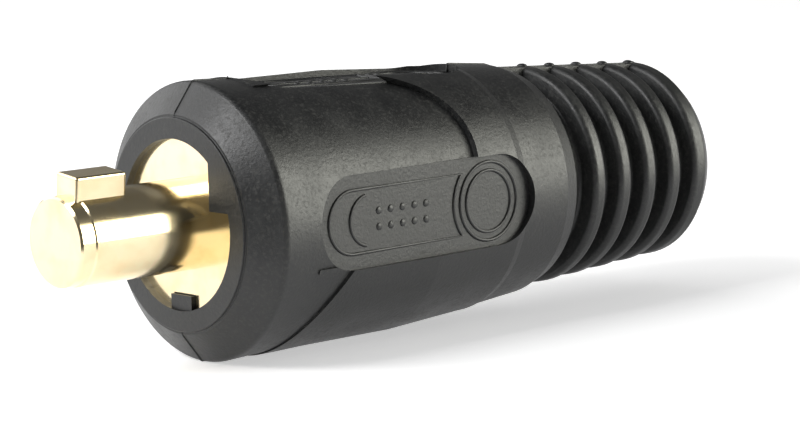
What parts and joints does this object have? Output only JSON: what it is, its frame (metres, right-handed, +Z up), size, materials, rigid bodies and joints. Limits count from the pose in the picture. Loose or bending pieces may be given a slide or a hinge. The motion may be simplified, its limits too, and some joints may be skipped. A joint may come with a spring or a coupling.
{
  "type": "welding cable plug",
  "caption": "Cable plug with a keyed round brass contact pin, a screw-clamp cable socket and a moulded rubber sleeve with flat grip pads and a ribbed tail.",
  "frame": {"origin": "on the plug's axis, in the plane of the contact shoulder that the pin stands on", "axes": "+X along the axis towards the cable end, so the pin points along -X; +Z up, square to one of the four flat pads"},
  "size_m": [0.1154, 0.04, 0.04],
  "materials": {
    "contact_brass": "bright turned brass",
    "sleeve_rubber": "matt moulded black rubber",
    "ferrule_copper": "rolled copper strip",
    "screw_steel": "blackened steel"
  },
  "bodies": {
    "root": {"contact_body": "contact_brass", "rubber_sleeve": "sleeve_rubber", "strand_ferrule": "ferrule_copper", "clamp_screw_1": "screw_steel", "clamp_screw_2": "screw_steel"}
  },
  "joints": []
}
